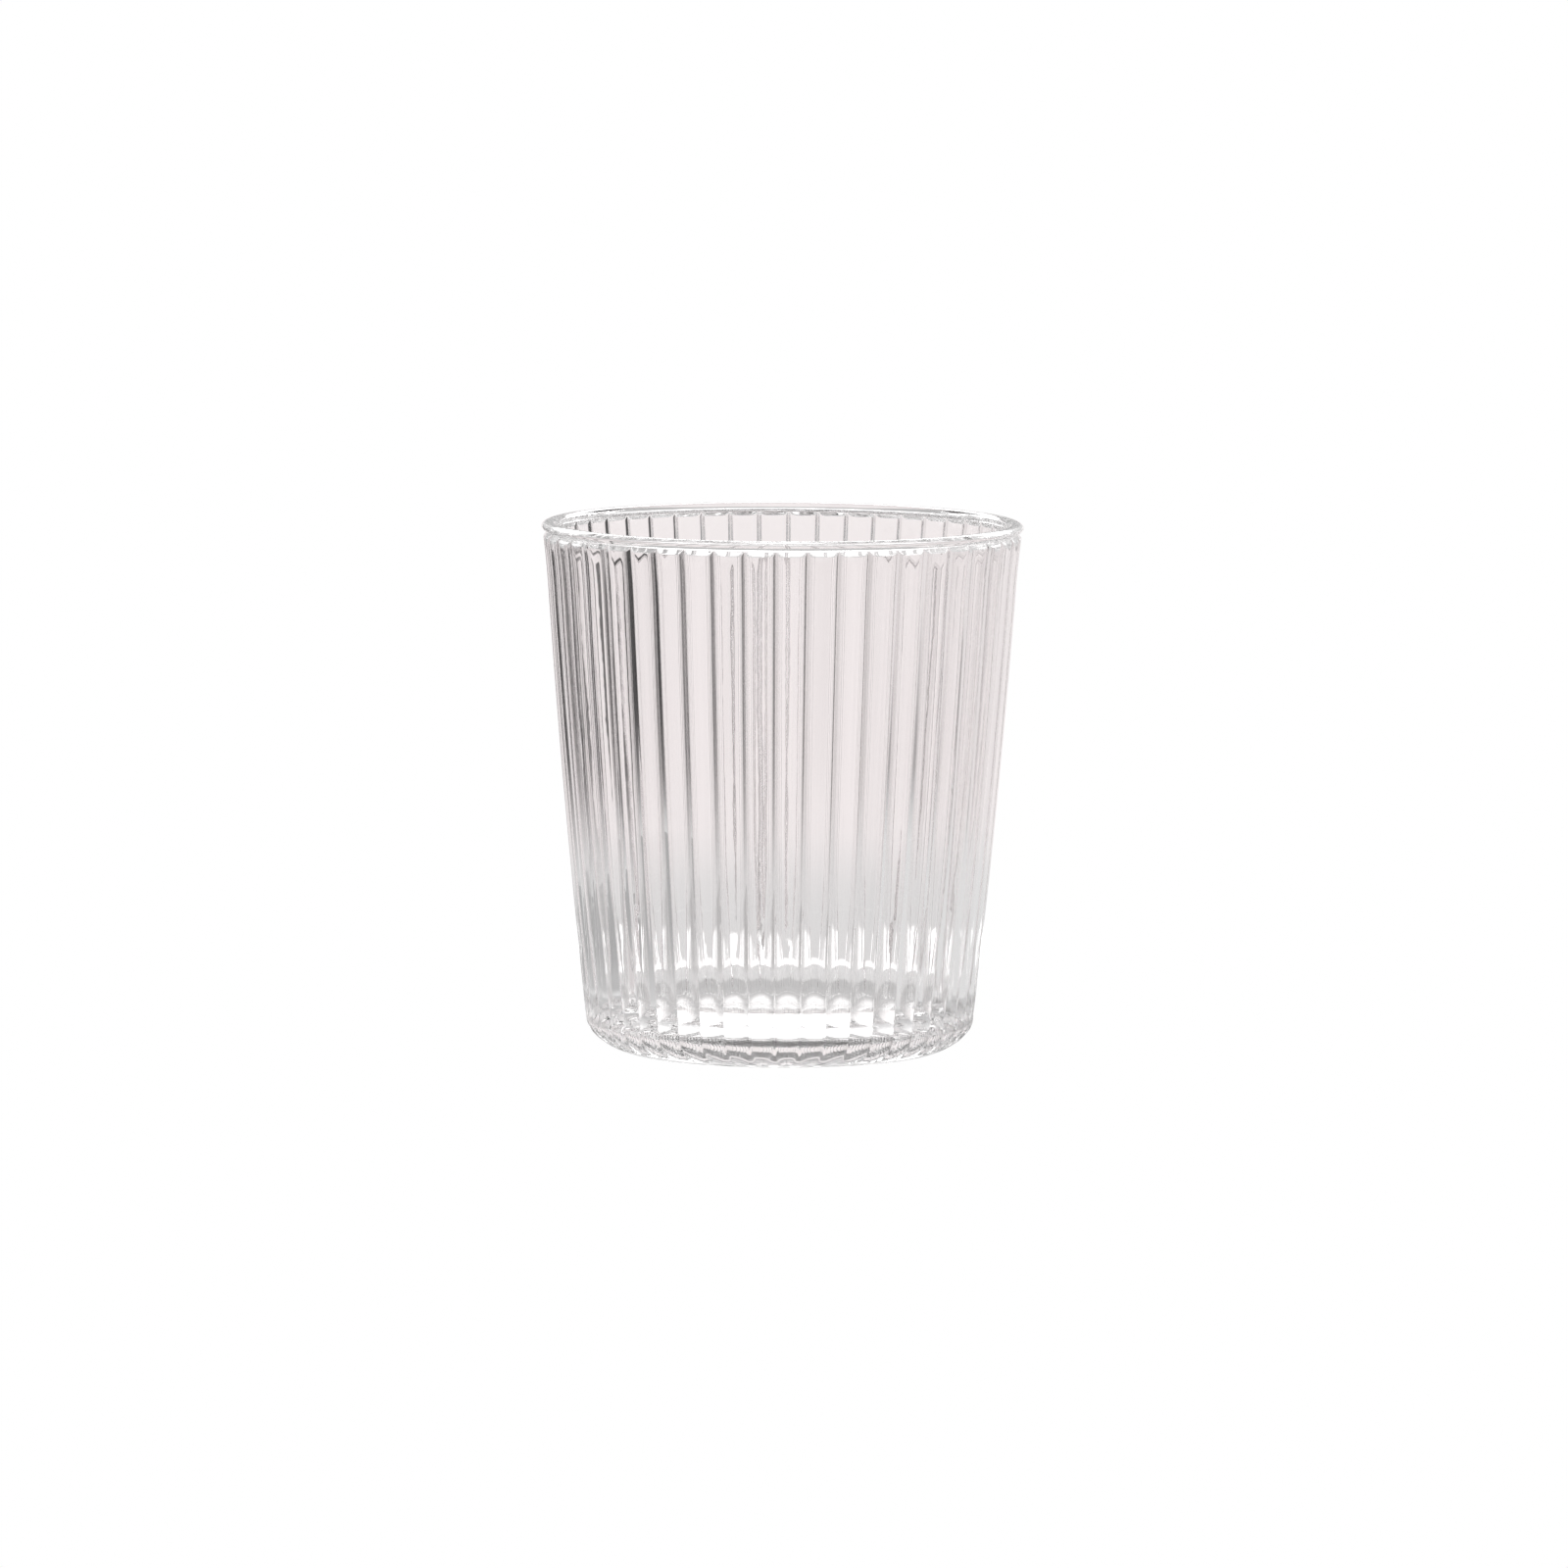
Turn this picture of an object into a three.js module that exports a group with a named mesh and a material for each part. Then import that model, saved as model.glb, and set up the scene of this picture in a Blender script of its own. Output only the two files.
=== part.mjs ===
// A ribbed water tumbler of clear glass, in millimetres.
// It stands on z = 0 with its axis on +Z and a valley between two ribs facing -Y.
// The glass is one fused piece. It is built in the three zones that a glassmaker forms one after
// the other, which meet on flat planes: the base, the ribbed wall and the fire-polished rim.
import * as THREE from "three";

// Driving dimensions
const HEIGHT = 90; // table to the top of the rim
const RIM_DIAMETER = 82; // across the outside of the rim bead
const HEEL_DIAMETER = 66.3; // across the rib crests where the wall leaves the heel
const HEEL_HEIGHT = 5; // of the rounded corner between foot and wall
const FOOT_DIAMETER = 53; // outside of the flat ring that the glass stands on
const FOOT_WIDTH = 7; // of that ring
const PUNT_DEPTH = 1.2; // how far the underside is pushed up inside the ring
const BASE_THICKNESS = 5.2; // table to the drinking floor
const INSIDE_FILLET = 6; // radius between the drinking floor and the inside of the wall
const WALL_THICKNESS = 1.8; // in the valleys between the ribs
const WALL_BULGE = 0.5; // how far the wall swells outside a straight taper
const RIM_FLARE = 0.35; // how far the wall turns out under the rim
const FLARE_HEIGHT = 9; // of that turned-out stretch
const BEAD_HEIGHT = 1.7; // of the smooth bead round the rim
const BEAD_PROUD = 1.05; // how far the bead stands out of the wall's valleys
const RIB_COUNT = 48;
const RIB_DEPTH = 0.85; // valley to crest
const RIB_FLATNESS_AT_FOOT = 2.5; // power of the curve in a rib's section: 2 is round, more is flatter
const RIB_FLATNESS = 8; // the same, from FLAT_HEIGHT up
const FLAT_HEIGHT = 40;
const RIB_TOP_CUT = 0.9; // height of the slanting cut that ends each rib under the bead
const RIB_FOOT = 1; // height on the heel where the ribs begin
const RIB_FADE = 4; // height over which they rise out of the heel to their full depth
const RIB_FADE_POWER = 1.5; // 1 is a straight rise, more starts steeper

// Facets: a rib needs its valley, a point on each flank and its crest, at these shares of its width
const RIB_SHARES = [0, 0.1, 0.5, 0.9];
const BEAD_STEPS = 3;
const HEEL_STEPS = 5;
const WALL_STEPS = 3;
const FLARE_STEPS = 2;
const RIB_CUT_STEPS = 2;
const RIB_FADE_STEPS = 2;
const FILLET_STEPS = 4;
const PUNT_STEPS = 2;

// The bead is an oval section, flush with the wall inside and proud of it outside
const RIM_RADIUS = RIM_DIAMETER / 2;
const BEAD_HALF_WIDTH = (WALL_THICKNESS + BEAD_PROUD) / 2;
const BEAD_NECK_ANGLE = Math.acos(1 - BEAD_PROUD / BEAD_HALF_WIDTH);
const BEAD_HALF_HEIGHT = BEAD_HEIGHT / (1 + Math.sin(BEAD_NECK_ANGLE));
const NECK_HEIGHT = HEIGHT - BEAD_HEIGHT;
const NECK_RADIUS = RIM_RADIUS - BEAD_PROUD;

const FOOT_RADIUS = FOOT_DIAMETER / 2;
const HEEL_RADIUS = HEEL_DIAMETER / 2 - RIB_DEPTH;
const FLARE_START = NECK_HEIGHT - FLARE_HEIGHT;
const RIB_TOP_START = NECK_HEIGHT - RIB_TOP_CUT;
const RIB_FADE_END = RIB_FOOT + RIB_FADE;
const FILLET_TOP = BASE_THICKNESS + INSIDE_FILLET;

const { clamp, lerp, smoothstep } = THREE.MathUtils;

// Height on a quarter circle of radius 1 at a share of its width, from 0 to 1
function roundRise(share) {
  return Math.sqrt(1 - (1 - clamp(share, 0, 1)) ** 2);
}

// Radius of the wall in its valleys, from the heel to the neck under the bead
function wallRadius(height) {
  const up = (height - HEEL_HEIGHT) / (NECK_HEIGHT - HEEL_HEIGHT);
  const taper = lerp(HEEL_RADIUS, NECK_RADIUS - RIM_FLARE, up);
  const flare = Math.max(0, (height - FLARE_START) / FLARE_HEIGHT);
  return taper + 4 * WALL_BULGE * up * (1 - up) + RIM_FLARE * flare ** 2;
}

// How far the slanting cut under the bead lets a rib stand out
function ribLimit(height) {
  return RIB_DEPTH * clamp((NECK_HEIGHT - height) / RIB_TOP_CUT, 0, 1);
}

// How far a rib's curve stands out of the heel or the wall, at a place across it from -1 to 1
function ribCurve(across, height) {
  const flat = smoothstep(height, HEEL_HEIGHT, FLAT_HEIGHT);
  const power = lerp(RIB_FLATNESS_AT_FOOT, RIB_FLATNESS, flat);
  const sunk = (1 - clamp((height - RIB_FOOT) / RIB_FADE, 0, 1)) ** RIB_FADE_POWER;
  return RIB_DEPTH * Math.max(0, 1 - Math.abs(across) ** power - sunk);
}

// One point of the outside outline, round at the heel, with how far a rib may stand out there
function outsidePoint(height) {
  const heel = roundRise(height / HEEL_HEIGHT);
  const radius = lerp(FOOT_RADIUS, wallRadius(Math.max(height, HEEL_HEIGHT)), heel);
  return { radius, height, limit: ribLimit(height) };
}

// One point of the smooth inside outline, round at the drinking floor
function insidePoint(height) {
  const fillet = roundRise((height - BASE_THICKNESS) / INSIDE_FILLET);
  const wall = wallRadius(Math.max(height, FILLET_TOP)) - WALL_THICKNESS;
  return { radius: wall - INSIDE_FILLET * (1 - fillet), height, limit: 0 };
}

function evenSteps(from, to, steps) {
  return Array.from({ length: steps + 1 }, (_, i) => lerp(from, to, i / steps));
}

// Steps that follow a quarter circle, close together where it starts to rise
function roundSteps(from, to, steps) {
  return evenSteps(0, Math.PI / 2, steps).map((angle) => lerp(from, to, 1 - Math.cos(angle)));
}

// The given heights that lie between two ends, with the ends themselves, lowest first
function heightsBetween(low, high, heights) {
  const apart = 0.05;
  const sorted = heights.filter((z) => z > low + apart && z < high - apart).sort((a, b) => a - b);
  const distinct = sorted.filter((z, i) => i === 0 || z > sorted[i - 1] + apart);
  return [low, ...distinct, high];
}

const OUTSIDE_HEIGHTS = [
  ...roundSteps(0, HEEL_HEIGHT, HEEL_STEPS),
  ...evenSteps(RIB_FOOT, RIB_FADE_END, RIB_FADE_STEPS),
  ...evenSteps(HEEL_HEIGHT, FLARE_START, WALL_STEPS),
  ...evenSteps(FLARE_START, RIB_TOP_START, FLARE_STEPS),
  ...evenSteps(RIB_TOP_START, NECK_HEIGHT, RIB_CUT_STEPS),
];
const INSIDE_HEIGHTS = [
  ...roundSteps(BASE_THICKNESS, FILLET_TOP, FILLET_STEPS),
  ...evenSteps(FILLET_TOP, FLARE_START, WALL_STEPS),
  ...evenSteps(FLARE_START, NECK_HEIGHT, FLARE_STEPS),
];

// Turns an outline about the axis and raises the ribs on it
function ribbedLathe(outline) {
  const segments = RIB_COUNT * RIB_SHARES.length;
  const flat = outline.map((point) => new THREE.Vector2(point.radius, point.height));
  const geometry = new THREE.LatheGeometry(flat, segments);
  const position = geometry.getAttribute("position");
  for (let i = 0; i < position.count; i++) {
    const { radius, height, limit } = outline[i % outline.length];
    const step = Math.floor(i / outline.length);
    const share = RIB_SHARES[step % RIB_SHARES.length];
    const reach = radius + Math.min(ribCurve(2 * share - 1, height), limit);
    const angle = (2 * Math.PI * (Math.floor(step / RIB_SHARES.length) + share)) / RIB_COUNT;
    position.setXYZ(i, reach * Math.sin(angle), height, reach * Math.cos(angle));
  }
  return geometry.rotateX(Math.PI / 2);
}

// Base: the pushed-up underside, the foot ring, the heel with the feet of the ribs, and the flat
// drinking floor
function baseGeometry() {
  const puntRadius = FOOT_RADIUS - FOOT_WIDTH;
  const punt = evenSteps(0, 1, PUNT_STEPS).map((share) => ({
    radius: puntRadius * share,
    height: PUNT_DEPTH * (1 - share ** 2),
    limit: 0,
  }));
  const heel = heightsBetween(0, BASE_THICKNESS, OUTSIDE_HEIGHTS).map(outsidePoint);
  const floorEdge = insidePoint(BASE_THICKNESS);
  return ribbedLathe([...punt, ...heel, floorEdge, { ...floorEdge, radius: 0 }]);
}

// Wall: ribbed outside and smooth inside, from the drinking floor's plane to the neck
function wallGeometry() {
  const outside = heightsBetween(BASE_THICKNESS, NECK_HEIGHT, OUTSIDE_HEIGHTS).map(outsidePoint);
  const inside = heightsBetween(BASE_THICKNESS, NECK_HEIGHT, INSIDE_HEIGHTS).map(insidePoint);
  return ribbedLathe([...outside, ...inside.reverse(), outside[0]]);
}

// Rim: a smooth bead, melted round in the flame
function rimGeometry() {
  const underside = evenSteps(-BEAD_NECK_ANGLE, 0, BEAD_STEPS);
  const top = evenSteps(0, Math.PI, 2 * BEAD_STEPS).slice(1);
  const bead = [...underside, ...top].map((angle) => ({
    radius: RIM_RADIUS - BEAD_HALF_WIDTH * (1 - Math.cos(angle)),
    height: HEIGHT - BEAD_HALF_HEIGHT * (1 - Math.sin(angle)),
    limit: 0,
  }));
  return ribbedLathe([...bead, insidePoint(NECK_HEIGHT), bead[0]]);
}

// Clear glass with a faint warm grey cast
function clearGlass() {
  return new THREE.MeshStandardMaterial({
    color: 0xebe5e5,
    roughness: 0.03,
    metalness: 0,
    transparent: true,
    opacity: 0.35,
  });
}

function zone(name, geometry) {
  const mesh = new THREE.Mesh(geometry, clearGlass());
  mesh.name = name;
  return mesh;
}

const tumbler = new THREE.Group();
tumbler.add(zone("base", baseGeometry()));
tumbler.add(zone("ribbed_wall", wallGeometry()));
tumbler.add(zone("rim", rimGeometry()));

export default tumbler;
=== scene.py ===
import math

import bpy
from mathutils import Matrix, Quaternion, Vector, noise


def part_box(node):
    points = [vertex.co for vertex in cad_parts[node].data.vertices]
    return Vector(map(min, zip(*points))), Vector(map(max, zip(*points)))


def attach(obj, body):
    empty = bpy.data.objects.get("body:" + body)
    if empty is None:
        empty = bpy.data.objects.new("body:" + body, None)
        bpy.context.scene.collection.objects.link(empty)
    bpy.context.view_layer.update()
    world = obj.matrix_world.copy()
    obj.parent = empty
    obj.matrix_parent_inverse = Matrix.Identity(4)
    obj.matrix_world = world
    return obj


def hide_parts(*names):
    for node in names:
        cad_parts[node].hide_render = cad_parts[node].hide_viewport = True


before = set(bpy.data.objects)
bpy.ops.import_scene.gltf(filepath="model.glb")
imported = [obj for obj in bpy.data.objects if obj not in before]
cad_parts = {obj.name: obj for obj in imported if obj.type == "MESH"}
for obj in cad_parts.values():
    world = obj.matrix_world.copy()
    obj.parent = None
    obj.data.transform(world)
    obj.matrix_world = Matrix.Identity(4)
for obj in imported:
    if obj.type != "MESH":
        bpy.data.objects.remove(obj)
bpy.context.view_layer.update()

MM = 0.001

# The tumbler in millimetres: heights and radii that the frame gives
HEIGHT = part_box("rim")[1].z / MM
RIM_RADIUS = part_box("rim")[1].x / MM
NECK_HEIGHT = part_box("rim")[0].z / MM
DRINKING_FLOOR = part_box("base")[1].z / MM

# Heel and foot
CREST_RADIUS_AT_HEEL = 33.15
HEEL_HEIGHT = 5.0
FOOT_RADIUS = 26.5
FOOT_WIDTH = 7.0
PUNT_DEPTH = 1.2

# Wall and rim bead
WALL_THICKNESS = 1.8
WALL_BULGE = 0.5
RIM_FLARE = 0.35
FLARE_HEIGHT = 9.0
BEAD_PROUD = 1.05
INSIDE_FILLET = 6.0

# Ribs: they rise out of the heel, grow flatter upwards and end in a slanting cut under the bead
RIB_COUNT = 48
RIB_DEPTH = 0.85
RIB_FLATNESS_AT_FOOT = 2.5
RIB_FLATNESS = 8.0
FLAT_HEIGHT = 40.0
RIB_TOP_CUT = 0.9
RIB_CUT_SOFTNESS = 0.06
RIB_FOOT = 1.0
RIB_FADE = 4.0
RIB_FADE_POWER = 1.5
RIB_FADE_SOFTNESS = 0.05
VALLEY_SOFTNESS = 0.12

# Unevenness of blown glass, which fades out at the foot outside and under the bead inside
RIPPLE_DEPTH = 0.02
RIPPLE_SIZE = 9.0
RIPPLE_FADE = 5.0
INSIDE_RIPPLE_SHIFT = Vector((31.7, 11.3, 5.1))

# How finely the curves are drawn
STEPS_PER_RIB = 14
STEP_BUNCHING = 0.8
PUNT_STEPS = 12
HEEL_STEPS = 4
FADE_STEPS = 16
CUT_STEPS = 12
OUTSIDE_STEPS = 32
INSIDE_STEPS = 24
BEAD_STEPS = 21
FILLET_STEPS = 10
FLOOR_STEPS = 14

NECK_RADIUS = RIM_RADIUS - BEAD_PROUD
HEEL_RADIUS = CREST_RADIUS_AT_HEEL - RIB_DEPTH
FLARE_START = NECK_HEIGHT - FLARE_HEIGHT
FILLET_TOP = DRINKING_FLOOR + INSIDE_FILLET
RIB_TOP_START = NECK_HEIGHT - RIB_TOP_CUT


def clamp(value):
    return min(1.0, max(0.0, value))


def mix(low, high, share):
    return low + (high - low) * share


def smooth(share):
    share = clamp(share)
    return share * share * (3 - 2 * share)


def steps(low, high, count):
    return [mix(low, high, i / count) for i in range(count + 1)]


# Height on a quarter circle of radius 1 at a share of its width
def round_rise(share):
    return math.sqrt(1 - (1 - clamp(share)) ** 2)


# Radius of the wall in the valleys between the ribs
def wall_radius(height):
    up = (height - HEEL_HEIGHT) / (NECK_HEIGHT - HEEL_HEIGHT)
    taper = mix(HEEL_RADIUS, NECK_RADIUS - RIM_FLARE, up)
    flare = max(0.0, (height - FLARE_START) / FLARE_HEIGHT)
    return taper + 4 * WALL_BULGE * up * (1 - up) + RIM_FLARE * flare**2


def outside_radius(height):
    heel = round_rise(height / HEEL_HEIGHT)
    return mix(FOOT_RADIUS, wall_radius(max(height, HEEL_HEIGHT)), heel)


# Section of a rib, 1 on its crest and 0 in the valleys, at a place across it from -1 to 1
def rib_arch(across, height):
    flat = smooth((height - HEEL_HEIGHT) / (FLAT_HEIGHT - HEEL_HEIGHT))
    arc = 1 - abs(across) ** mix(RIB_FLATNESS_AT_FOOT, RIB_FLATNESS, flat)
    crest = math.hypot(1, VALLEY_SOFTNESS)
    return (math.hypot(arc, VALLEY_SOFTNESS) - VALLEY_SOFTNESS) / (crest - VALLEY_SOFTNESS)


# How far a rib may stand out at a height: not at all below its foot, and less and less in the
# slanting cut under the bead
def rib_limit(height):
    if height < RIB_FOOT:
        return 0.0
    return RIB_DEPTH * (NECK_HEIGHT - height) / RIB_TOP_CUT


# How far a rib stands out of the heel or the wall, at a place across it from -1 to 1
def rib_curve(across, height):
    sunk = (1 - clamp((height - RIB_FOOT) / RIB_FADE)) ** RIB_FADE_POWER
    curve = RIB_DEPTH * (rib_arch(across, height) - sunk)
    return (curve + math.hypot(curve, RIB_FADE_SOFTNESS * sunk)) / 2


# One ring of the surface: how far out and up it runs, and how the ribs and ripples shape it
def ring(radius, height, limit=0.0, ripple=0.0, inside=False):
    return {
        "radius": radius,
        "height": height,
        "limit": limit,
        "ripple": ripple,
        "inside": inside,
    }


# The pushed-up underside and the flat ring that the glass stands on
def foot_rings():
    punt_radius = FOOT_RADIUS - FOOT_WIDTH
    rings = []
    for share in steps(0, 1, PUNT_STEPS)[1:]:
        rings.append(ring(punt_radius * share, PUNT_DEPTH * (1 + math.cos(math.pi * share)) / 2))
    rings.append(ring(FOOT_RADIUS - FOOT_WIDTH / 2, 0.0))
    return rings


# The heel and the ribbed outside of the wall, with rings close together where the ribs begin and end
def outside_rings():
    heel_angles = steps(0, math.acos(1 - RIB_FOOT / HEEL_HEIGHT), HEEL_STEPS)
    heights = [HEEL_HEIGHT * (1 - math.cos(angle)) for angle in heel_angles[:-1]]
    heights += [RIB_FOOT + RIB_FADE * share**RIB_FADE_POWER for share in steps(0, 1, FADE_STEPS)]
    heights += steps(RIB_FOOT + RIB_FADE, RIB_TOP_START, OUTSIDE_STEPS)[1:-1]
    heights += steps(RIB_TOP_START, NECK_HEIGHT, CUT_STEPS)[:-1]
    rings = []
    for height in heights:
        ripple = RIPPLE_DEPTH * clamp(height / RIPPLE_FADE)
        rings.append(ring(outside_radius(height), height, rib_limit(height), ripple=ripple))
    return rings


# The bead: an oval, flush with the wall inside and proud of it outside
def bead_rings():
    half_width = (WALL_THICKNESS + BEAD_PROUD) / 2
    neck_angle = math.acos(1 - BEAD_PROUD / half_width)
    half_height = (HEIGHT - NECK_HEIGHT) / (1 + math.sin(neck_angle))
    rings = []
    for angle in steps(-neck_angle, math.pi, BEAD_STEPS):
        radius = RIM_RADIUS - half_width * (1 - math.cos(angle))
        rings.append(ring(radius, HEIGHT - half_height * (1 - math.sin(angle))))
    return rings


# The smooth inside of the wall, the fillet and the drinking floor
def inside_rings():
    rings = []
    for height in steps(NECK_HEIGHT, FILLET_TOP, INSIDE_STEPS)[1:]:
        ripple = RIPPLE_DEPTH * clamp((NECK_HEIGHT - height) / RIPPLE_FADE)
        rings.append(ring(wall_radius(height) - WALL_THICKNESS, height, ripple=ripple, inside=True))
    fillet_radius = wall_radius(FILLET_TOP) - WALL_THICKNESS - INSIDE_FILLET
    for angle in steps(0, math.pi / 2, FILLET_STEPS)[1:]:
        radius = fillet_radius + INSIDE_FILLET * math.cos(angle)
        rings.append(ring(radius, FILLET_TOP - INSIDE_FILLET * math.sin(angle), inside=True))
    for share in steps(1, 0, FLOOR_STEPS)[1:-1]:
        rings.append(ring(fillet_radius * share, DRINKING_FLOOR, inside=True))
    return rings


# One point of a ring, with the rib and the ripple that meet there
def ring_point(around, turn, across):
    rib = 0.0
    limit = around["limit"]
    if limit:
        curve = rib_curve(across, around["height"])
        rib = max(0.0, (curve + limit - math.hypot(curve - limit, RIB_CUT_SOFTNESS)) / 2)
    reach = around["radius"] + rib
    point = Vector((reach * math.sin(turn), -reach * math.cos(turn), around["height"]))
    if around["ripple"]:
        place = point / RIPPLE_SIZE
        if around["inside"]:
            place += INSIDE_RIPPLE_SHIFT
        swell = 1 + around["ripple"] * noise.noise(place) / reach
        point.x *= swell
        point.y *= swell
    return point * MM


# Places round the glass as a turn and a place across the rib, closer together in the valleys
def places_round():
    places = []
    for rib in range(RIB_COUNT):
        for i in range(STEPS_PER_RIB):
            even = i / STEPS_PER_RIB
            share = even - STEP_BUNCHING * math.sin(math.tau * even) / math.tau
            places.append((math.tau * (rib + share) / RIB_COUNT, 2 * share - 1))
    return places


# Four-sided faces between each ring of points and the next
def faces_between_rings(ring_count, points_per_ring):
    faces = []
    for start in range(0, points_per_ring * (ring_count - 1), points_per_ring):
        above = start + points_per_ring
        for i in range(points_per_ring):
            k = (i + 1) % points_per_ring
            faces.append((start + i, start + k, above + k, above + i))
    return faces


def add_object(name, data):
    made = bpy.data.objects.new(name, data)
    bpy.context.scene.collection.objects.link(made)
    return made


# The whole glass as one closed surface, with fans of faces at the middle of underside and floor
def tumbler():
    rings = foot_rings() + outside_rings() + bead_rings() + inside_rings()
    places = places_round()
    count = len(places)
    points = [ring_point(around, *place) for around in rings for place in places]
    faces = faces_between_rings(len(rings), count)
    under = len(points)
    floor = under + 1
    last = under - count
    points += [Vector((0, 0, PUNT_DEPTH * MM)), Vector((0, 0, DRINKING_FLOOR * MM))]
    for i in range(count):
        k = (i + 1) % count
        faces.append((under, k, i))
        faces.append((floor, last + i, last + k))
    mesh = bpy.data.meshes.new("tumbler")
    mesh.from_pydata(points, [], faces)
    mesh.shade_smooth()
    return add_object("tumbler", mesh)


# Linear colour from an sRGB hex value
def linear(hex_colour):
    channels = []
    for i in (1, 3, 5):
        value = int(hex_colour[i : i + 2], 16) / 255
        channels.append(value / 12.92 if value <= 0.04045 else ((value + 0.055) / 1.055) ** 2.4)
    return (*channels, 1.0)


# Adds a node, sets its properties and sockets, and links other sockets to it
def add_node(tree, kind, settings=None, values=None, links=None):
    node = tree.nodes.new(kind)
    for name, value in (settings or {}).items():
        setattr(node, name, value)
    for name, value in (values or {}).items():
        node.inputs[name].default_value = value
    for name, socket in (links or {}).items():
        tree.links.new(socket, node.inputs[name])
    return node


def new_material(name):
    material = bpy.data.materials.new(name)
    material.use_nodes = True
    material.node_tree.nodes.clear()
    return material, material.node_tree


# Soda-lime glass, blown in a ribbed mould and polished in the flame: clear and glossy, with faint
# waves from the mould that make straight edges behind it tremble
def blown_soda_lime_glass():
    wave_size_mm = 2.5
    wave_height_mm = 0.004
    material, tree = new_material("blown_soda_lime_glass")
    place = add_node(tree, "ShaderNodeTexCoord")
    waves = add_node(
        tree,
        "ShaderNodeTexNoise",
        values={"Scale": 1 / (wave_size_mm * MM), "Detail": 1.0, "Roughness": 0.4},
        links={"Vector": place.outputs["Object"]},
    )
    bump = add_node(
        tree,
        "ShaderNodeBump",
        values={"Strength": 1.0, "Distance": wave_height_mm * MM},
        links={"Height": waves.outputs["Fac"]},
    )
    glass = add_node(
        tree,
        "ShaderNodeBsdfPrincipled",
        values={
            "Base Color": linear("#fdfcfc"),
            "Roughness": 0.0,
            "IOR": 1.52,
            "Transmission Weight": 1.0,
        },
        links={"Normal": bump.outputs["Normal"]},
    )
    add_node(tree, "ShaderNodeOutputMaterial", links={"Surface": glass.outputs["BSDF"]})
    return material


# Studio in millimetres: a round tent of glowing cloth on a glowing table, and a pale floor
TENT_RADIUS = 175.0
TENT_HEIGHT = 320.0
AXIS_HOLE = 0.1
TENT_TURNS = 360
TENT_BANDS = 64
TABLE_RINGS = 70
TABLE_HEIGHT = -0.05
PALE_FLOOR_HEIGHT = -0.1
PALE_FLOOR_RADIUS = 900.0

# Tent: turns are in degrees from the camera's side towards +X, and a glow of 1 is white
BEHIND = 180.0
BACKDROP_GLOW = 0.93
BACKDROP_HALF_WIDTH = 28.0
SEAM_GLOW = 0.38
PANEL_GLOW = 0.82
PANEL_COUNT = 8
PANEL_HALF_WIDTH = 11.0
PANEL_SOFT_EDGE = 5.0
DARK_GAPS = ((220.0, 6.0), (241.0, 8.0), (292.0, 10.0))
DARK_GLOW = 0.03
DARK_HEIGHTS = (-8.0, 32.0)
CLOTH_TINT = (1.0, 0.95, 0.95)
CLOTH_HEIGHT = 98.0
FOLD_HEIGHTS = (0.0, 18.0)
UPPER_GLOW = 0.52
LAMP_HEIGHTS = (142.0, 200.0)
LAMP_HALF_WIDTH = 60.0
LAMP_GLOW = 4.0
ROOF_GLOW = 0.03
PALE_FLOOR_GLOW = (1.0, 1.0, 1.0)

# Table, painted light and shade: pool under the glass, shade round it, patches and dark strips further
# out
TABLE_GLOW = 0.75
POOL_GLOW = 2.0
POOL_HALF_WIDTH = 9.0
POOL_RADIUS = 30.0
POOL_SOFT_EDGE = 20.0
SHADE_GLOW = 0.57
SHADE_RADIUS = 46.0
SPOTS = ((203.0, 4.0), (155.0, 5.0))
SPOT_GLOW = 2.0
SPOT_SOFT_EDGE = 4.0
SPOT_RADII = (80.0, 145.0)
PATCH_GLOW = 1.2
PATCH_HALF_WIDTH = 26.0
PATCH_RADII = (80.0, 110.0)
TABLE_SOFT_EDGE = 10.0
DARK_TABLE_GLOW = 0.4
DARK_TABLE_SOFT_EDGE = 8.0
DARK_TABLE_RADII = (30.0, 120.0)


# 1 near a turn and 0 away from it, with a soft edge
def near_turn(turn, middle, half_width, soft_edge):
    apart = abs((turn - middle + 180) % 360 - 180)
    return 1 - smooth((apart - half_width) / soft_edge)


# 1 near one of several turns, each given with its half width
def near_turns(turn, places, soft_edge):
    return max(near_turn(turn, middle, half_width, soft_edge) for middle, half_width in places)


# 1 between two values and 0 outside them, with soft edges centred on the two
def between(value, ends, soft_edge):
    low, high = ends
    return smooth((value - low) / soft_edge + 0.5) * smooth((high - value) / soft_edge + 0.5)


# How far a value has come from one end to the other, from 0 to 1
def rise(value, ends):
    low, high = ends
    return smooth((value - low) / (high - low))


# Brightness of the tent above the cloth panels: a band of grey cloth, then lamps high behind the glass
def upper_glow(turn, height):
    low, high = LAMP_HEIGHTS
    if height < low:
        return UPPER_GLOW
    if height > high:
        return ROOF_GLOW
    return mix(ROOF_GLOW, LAMP_GLOW, near_turn(turn, BEHIND, LAMP_HALF_WIDTH, PANEL_SOFT_EDGE))


# Brightness of the tent's wall: soft panels, a plain backdrop and three open gaps at the left, with
# a soft fold where the cloth meets the table
def tent_glow(turn, height):
    if height > CLOTH_HEIGHT:
        return (upper_glow(turn, height),) * 3
    panel_width = PANEL_HALF_WIDTH * PANEL_COUNT
    panel = near_turn(turn * PANEL_COUNT, 0, panel_width, PANEL_SOFT_EDGE * PANEL_COUNT)
    glow = mix(SEAM_GLOW, PANEL_GLOW, panel)
    glow = mix(glow, BACKDROP_GLOW, near_turn(turn, BEHIND, BACKDROP_HALF_WIDTH, PANEL_SOFT_EDGE))
    fold = rise(height, FOLD_HEIGHTS)
    dark = near_turns(turn, DARK_GAPS, PANEL_SOFT_EDGE) * rise(height, DARK_HEIGHTS)
    return tuple(mix(mix(TABLE_GLOW, glow * tint, fold), DARK_GLOW, dark) for tint in CLOTH_TINT)
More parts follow.
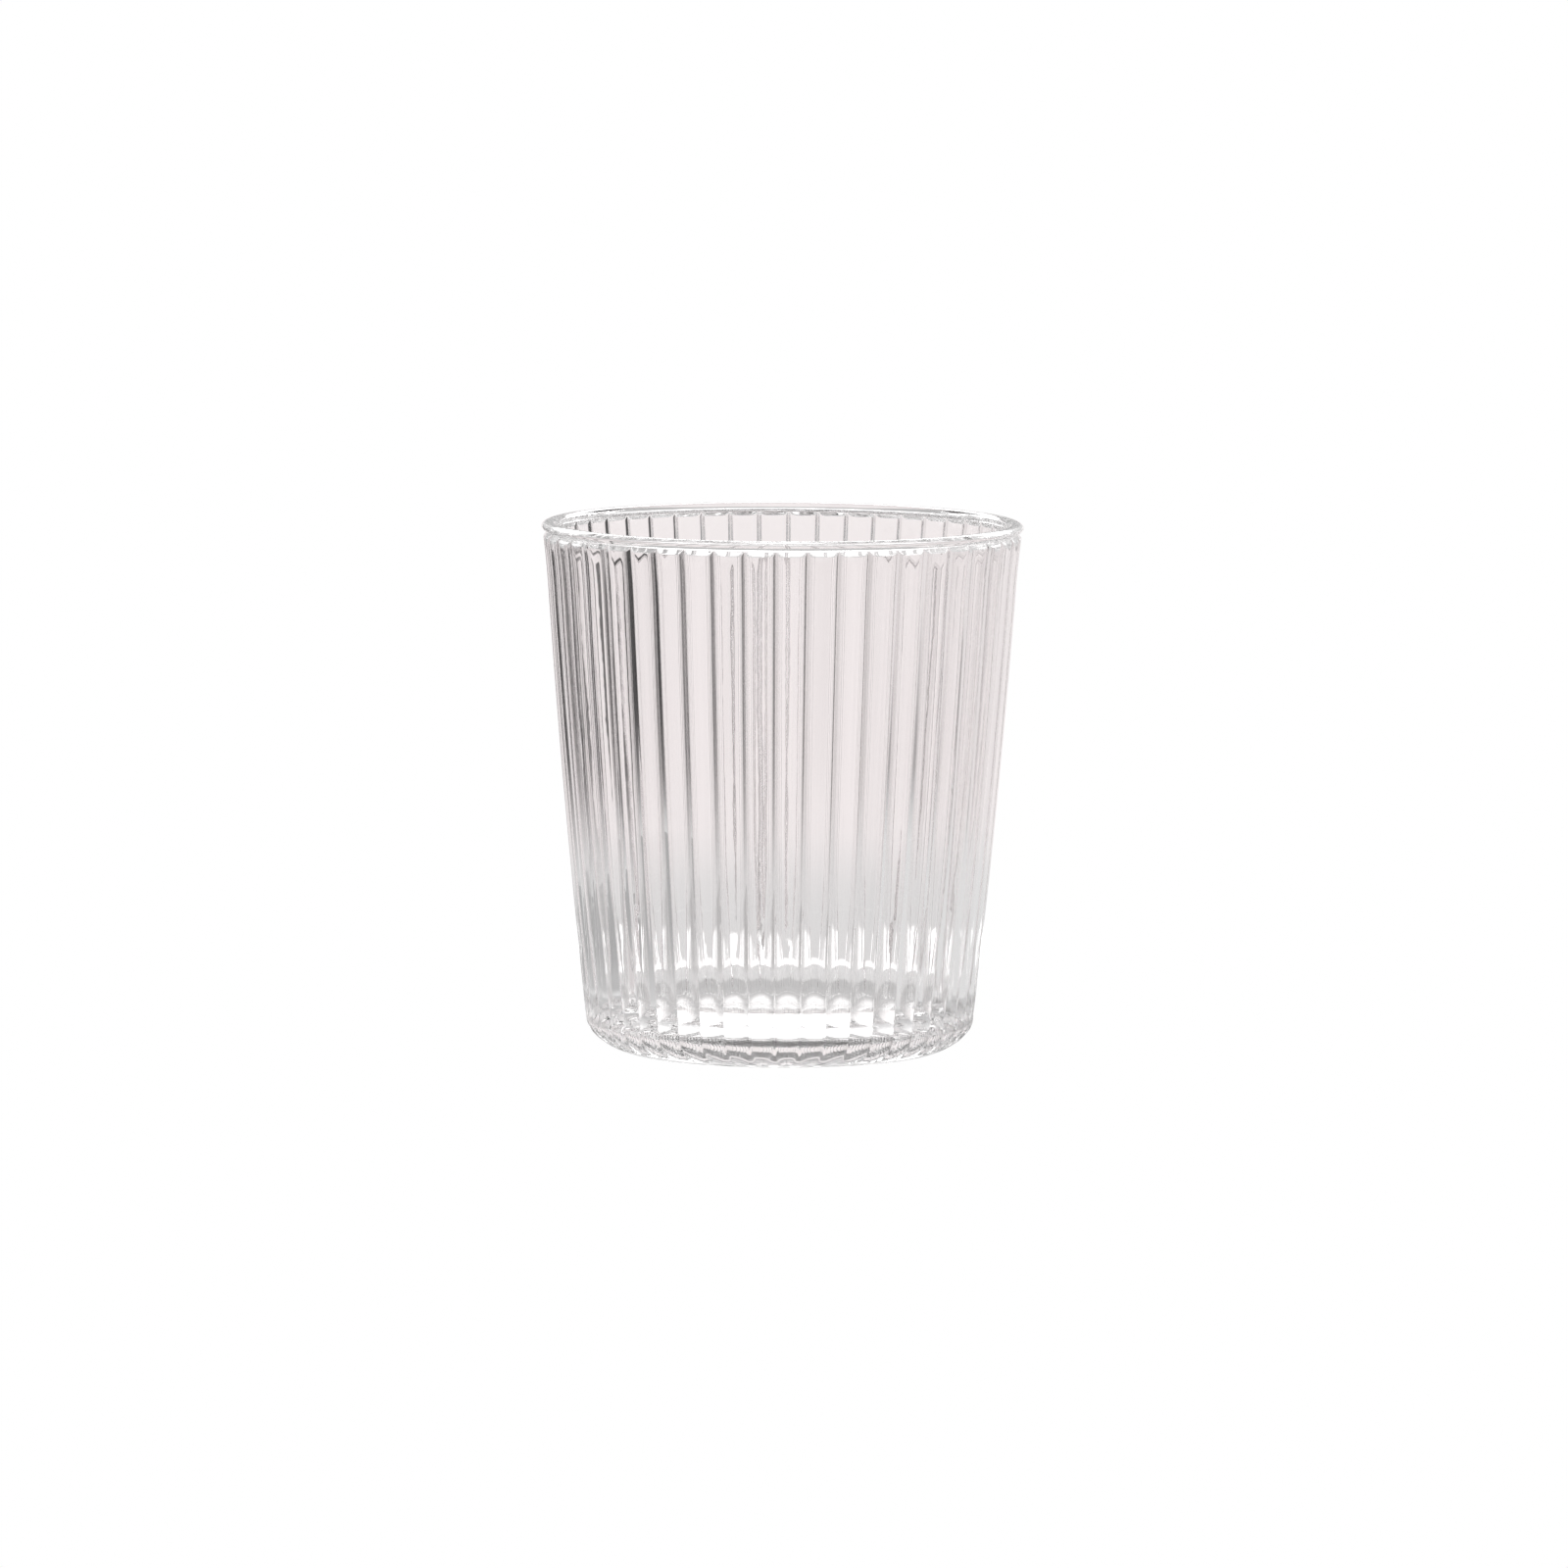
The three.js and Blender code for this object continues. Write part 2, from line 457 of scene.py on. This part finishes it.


# Brightness of the table, all painted light and shade: a pool of light under the glass, its shade round
# it, bright patches behind it and the tent's gaps as darker strips
def table_glow(turn, radius):
    if radius < SHADE_RADIUS:
        aside = abs(radius * math.sin(math.radians(turn)))
        pool = 1 - smooth((aside - POOL_HALF_WIDTH) / POOL_SOFT_EDGE)
        pool *= smooth((POOL_RADIUS - radius) / TABLE_SOFT_EDGE + 0.5)
        return (mix(SHADE_GLOW, POOL_GLOW, pool),) * 3
    patch = near_turn(turn, BEHIND, PATCH_HALF_WIDTH, PANEL_SOFT_EDGE)
    glow = mix(TABLE_GLOW, PATCH_GLOW, patch * between(radius, PATCH_RADII, TABLE_SOFT_EDGE))
    spot = near_turns(turn, SPOTS, SPOT_SOFT_EDGE) * between(radius, SPOT_RADII, TABLE_SOFT_EDGE)
    glow = mix(glow, SPOT_GLOW, spot)
    dark = near_turns(turn, DARK_GAPS, DARK_TABLE_SOFT_EDGE)
    return (mix(glow, DARK_TABLE_GLOW, dark * rise(radius, DARK_TABLE_RADII)),) * 3


# Cloth and table give off the brightness that is painted on their points
def glowing_cloth():
    material, tree = new_material("glowing_cloth")
    glow = add_node(tree, "ShaderNodeAttribute", settings={"attribute_name": "glow"})
    light = add_node(tree, "ShaderNodeEmission", links={"Color": glow.outputs["Color"]})
    add_node(tree, "ShaderNodeOutputMaterial", links={"Surface": light.outputs["Emission"]})
    return material


# A sheet of rings round the axis, each given as radius and height, with its glow at each point
def glowing_sheet(name, rings, glow_at, material):
    points = []
    glows = []
    for radius, height in rings:
        for i in range(TENT_TURNS):
            turn = 360 * i / TENT_TURNS
            angle = math.radians(turn)
            points.append(Vector((radius * math.sin(angle), -radius * math.cos(angle), height)) * MM)
            glows.append((*glow_at(turn, radius, height), 1.0))
    mesh = bpy.data.meshes.new(name)
    mesh.from_pydata(points, [], faces_between_rings(len(rings), TENT_TURNS))
    paint = mesh.color_attributes.new("glow", "FLOAT_COLOR", "POINT")
    for item, glow in zip(paint.data, glows):
        item.color = glow
    mesh.materials.append(material)
    sheet = add_object(name, mesh)
    return sheet


# The tent stands round the glass out of the camera's sight
def tent(cloth):
    wall = [(TENT_RADIUS, height) for height in steps(0, TENT_HEIGHT, TENT_BANDS)]
    table = [(radius, TABLE_HEIGHT) for radius in steps(AXIS_HOLE, TENT_RADIUS, TABLE_RINGS)]
    roof = [(radius, TENT_HEIGHT) for radius in (AXIS_HOLE, TENT_RADIUS)]
    sheets = [
        glowing_sheet("tent_wall", wall, lambda turn, radius, height: tent_glow(turn, height), cloth),
        glowing_sheet("tent_table", table, lambda turn, radius, height: table_glow(turn, radius), cloth),
        glowing_sheet("tent_roof", roof, lambda turn, radius, height: (ROOF_GLOW,) * 3, cloth),
    ]
    for sheet in sheets:
        sheet.visible_camera = False


# The plain white floor that the camera sees, which sends no light into the glass
def pale_floor(cloth):
    rings = [(radius, PALE_FLOOR_HEIGHT) for radius in (AXIS_HOLE, PALE_FLOOR_RADIUS)]
    floor = glowing_sheet("pale_floor", rings, lambda turn, radius, height: PALE_FLOOR_GLOW, cloth)
    floor.visible_diffuse = False
    floor.visible_glossy = False
    floor.visible_transmission = False
    floor.visible_shadow = False


def studio():
    cloth = glowing_cloth()
    tent(cloth)
    pale_floor(cloth)


# The world is the plain white that the camera sees behind the glass
def white_world():
    world = bpy.data.worlds.new("white")
    world.use_nodes = True
    tree = world.node_tree
    tree.nodes.clear()
    sky = add_node(tree, "ShaderNodeBackground", values={"Color": linear("#ffffff")})
    add_node(tree, "ShaderNodeOutputWorld", links={"Surface": sky.outputs["Background"]})
    bpy.context.scene.world = world


# Camera in degrees and millimetres, fitted to the photograph's outline and the ovals of rim and foot
CAMERA_TURN = 1.5
CAMERA_RISE = 6.8
CAMERA_ROLL = 0.32
CAMERA_DISTANCE = 1367.0
FRAME_WIDTH = 267.6
CAMERA_TARGET = Vector((0.5, 0, 45.0))
SENSOR_WIDTH = 36.0


def photo_camera():
    camera = bpy.data.cameras.new("photo_camera")
    camera.sensor_width = SENSOR_WIDTH
    camera.sensor_fit = "HORIZONTAL"
    camera.lens = SENSOR_WIDTH * CAMERA_DISTANCE / FRAME_WIDTH
    turn = math.radians(CAMERA_TURN)
    tilt = math.radians(CAMERA_RISE)
    level = math.cos(tilt)
    back = Vector((math.sin(turn) * level, -math.cos(turn) * level, math.sin(tilt)))
    placed = add_object("photo_camera", camera)
    placed.location = (CAMERA_TARGET + back * CAMERA_DISTANCE) * MM
    roll = Quaternion((0, 0, 1), math.radians(CAMERA_ROLL))
    placed.rotation_mode = "QUATERNION"
    placed.rotation_quaternion = (-back).to_track_quat("-Z", "Y") @ roll
    bpy.context.scene.camera = placed


def dress_tumbler():
    glass = tumbler()
    glass.data.materials.append(blown_soda_lime_glass())
    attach(glass, "root")
    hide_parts("base", "ribbed_wall", "rim")


# Light runs a long way inside the wall and the bead before it leaves
LIGHT_BOUNCES = 64


# Tones are shown as they are, and light may bounce often
def light_settings():
    scene = bpy.context.scene
    scene.view_settings.view_transform = "Standard"
    scene.cycles.max_bounces = LIGHT_BOUNCES
    scene.cycles.transmission_bounces = LIGHT_BOUNCES
    scene.cycles.glossy_bounces = LIGHT_BOUNCES


dress_tumbler()
studio()
white_world()
photo_camera()
light_settings()
